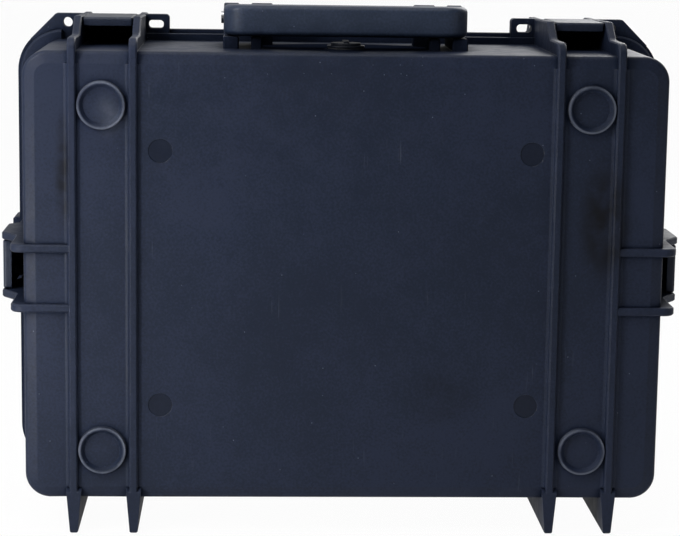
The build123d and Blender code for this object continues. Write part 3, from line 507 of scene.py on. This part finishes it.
# ---------------------------------------------------------------- floor, light and background
FLOOR_HALF = 40.0
FLOOR_DROP = 0.0004              # keeps the feet from lying in the floor's plane
FLOOR_CLEARNESS = 0.97           # to the camera, over the white world and a lid opened below the floor
FLOOR_MIRRORED = 0.4             # share of white in the floor that the case reflects
ROOM_COLOUR = (0.95, 0.98, 1.0, 1)
LAMPS = [
    # name, place, aim, size, watts, colour
    ("key", (-0.62, -0.52, 0.74), (-0.18, -0.1, 0.33), 0.35, 5.6, (1.0, 0.99, 0.98)),
    ("low", (-0.55, -0.50, 0.15), (-0.16, -0.1, 0.03), 0.25, 2.3, (1.0, 0.99, 0.98)),
    ("top", (-0.2, -0.45, 1.7), (0, -0.05, 0.3), 0.9, 10.0, (1.0, 1.0, 1.0)),
    ("back", (0.9, 1.7, 1.3), (0, 0.1, 0.2), 1.2, 20.0, (1.0, 1.0, 1.0)),
    ("fill", (1.7, -1.5, 0.6), (0, 0, 0.2), 1.2, 2.6, (0.96, 0.98, 1.0)),
]


def backdrop_floor():
    """A pale floor, nearly clear to the camera, that keeps a trace of the object's shadow."""
    mesh = bpy.data.meshes.new("floor")
    corners = [(-1, -1), (1, -1), (1, 1), (-1, 1)]
    mesh.from_pydata([(x * FLOOR_HALF, y * FLOOR_HALF, 0) for x, y in corners], [], [(0, 1, 2, 3)])
    plane = bpy.data.objects.new("floor", mesh)
    bpy.context.scene.collection.objects.link(plane)
    plane.location.z = -FLOOR_DROP
    plane.visible_shadow = False
    shader = Shader("floor_paper")
    surface = shader.surface
    surface.inputs["Base Color"].default_value = linear(238, 238, 238)
    surface.inputs["Roughness"].default_value = 0.9
    surface.inputs["Specular IOR Level"].default_value = 0.1
    shader.link(shader.bump(shader.noise(900.0, detail=2.0), 0.05, 0.0001), surface.inputs["Normal"])
    white = shader.node("ShaderNodeEmission")
    path = shader.node("ShaderNodeLightPath").outputs
    mirrored = shader.node("ShaderNodeMixShader")
    shader.link(shader.faded(path["Is Glossy Ray"], FLOOR_MIRRORED), mirrored.inputs["Fac"])
    shader.link(surface.outputs["BSDF"], mirrored.inputs[1])
    shader.link(white.outputs["Emission"], mirrored.inputs[2])
    clear = shader.node("ShaderNodeBsdfTransparent")
    seen = shader.any_of(path["Is Camera Ray"], path["Is Transmission Ray"])
    mixed = shader.node("ShaderNodeMixShader")
    shader.link(shader.faded(seen, FLOOR_CLEARNESS), mixed.inputs["Fac"])
    shader.link(mirrored.outputs["Shader"], mixed.inputs[1])
    shader.link(clear.outputs["BSDF"], mixed.inputs[2])
    shader.link(mixed.outputs["Shader"], shader.tree.nodes["Material Output"].inputs["Surface"])
    mesh.materials.append(shader.material)


def studio_world():
    """White to the camera, with a room that is dim on the camera's side and brighter behind the object."""
    world = bpy.data.worlds.new("studio")
    bpy.context.scene.world = world
    world.use_nodes = True
    tree = world.node_tree

    def made(kind, **values):
        node = tree.nodes.new(kind)
        for key, value in values.items():
            setattr(node, key, value)
        return node

    def graded(source, start, end, bottom, top):
        node = made("ShaderNodeMapRange", interpolation_type="SMOOTHSTEP")
        tree.links.new(source, node.inputs["Value"])
        for key, value in (("From Min", start), ("From Max", end), ("To Min", bottom), ("To Max", top)):
            node.inputs[key].default_value = value
        return node.outputs["Result"]

    direction = made("ShaderNodeSeparateXYZ").inputs["Vector"]
    tree.links.new(made("ShaderNodeTexCoord").outputs["Generated"], direction)
    depthwise = direction.node.outputs["Y"]
    upwards = direction.node.outputs["Z"]
    path = made("ShaderNodeLightPath").outputs

    room = tree.nodes["Background"]
    room.inputs["Color"].default_value = ROOM_COLOUR
    tree.links.new(graded(depthwise, -0.7, 0.8, 0.07, 0.4), room.inputs["Strength"])
    mirrored = made("ShaderNodeBackground")
    mirrored.inputs["Color"].default_value = (1, 1, 1, 1)
    backdrop = made("ShaderNodeMath", operation="MULTIPLY")
    tree.links.new(graded(depthwise, -0.1, 0.25, 0.07, 1.0), backdrop.inputs[0])
    tree.links.new(graded(upwards, 0.0, 0.5, 0.3, 1.0), backdrop.inputs[1])
    tree.links.new(backdrop.outputs["Value"], mirrored.inputs["Strength"])
    white = made("ShaderNodeBackground")
    white.inputs["Color"].default_value = (1, 1, 1, 1)

    lit = made("ShaderNodeMixShader")
    tree.links.new(path["Is Glossy Ray"], lit.inputs["Fac"])
    tree.links.new(room.outputs["Background"], lit.inputs[1])
    tree.links.new(mirrored.outputs["Background"], lit.inputs[2])
    seen = made("ShaderNodeMath", operation="MAXIMUM")
    tree.links.new(path["Is Camera Ray"], seen.inputs[0])
    tree.links.new(path["Is Transmission Ray"], seen.inputs[1])
    mixed = made("ShaderNodeMixShader")
    tree.links.new(seen.outputs["Value"], mixed.inputs["Fac"])
    tree.links.new(lit.outputs["Shader"], mixed.inputs[1])
    tree.links.new(white.outputs["Background"], mixed.inputs[2])
    tree.links.new(mixed.outputs["Shader"], tree.nodes["World Output"].inputs["Surface"])


def lamp(name, place, aim, size, power, colour):
    """A round area lamp at a place, turned to its aim."""
    data = bpy.data.lights.new(name, "AREA")
    data.shape = "DISK"
    data.size = size
    data.energy = power
    data.color = colour
    light = bpy.data.objects.new(name, data)
    bpy.context.scene.collection.objects.link(light)
    light.location = place
    light.rotation_euler = (Vector(aim) - Vector(place)).to_track_quat("-Z", "Y").to_euler()


backdrop_floor()
studio_world()
for values in LAMPS:
    lamp(*values)
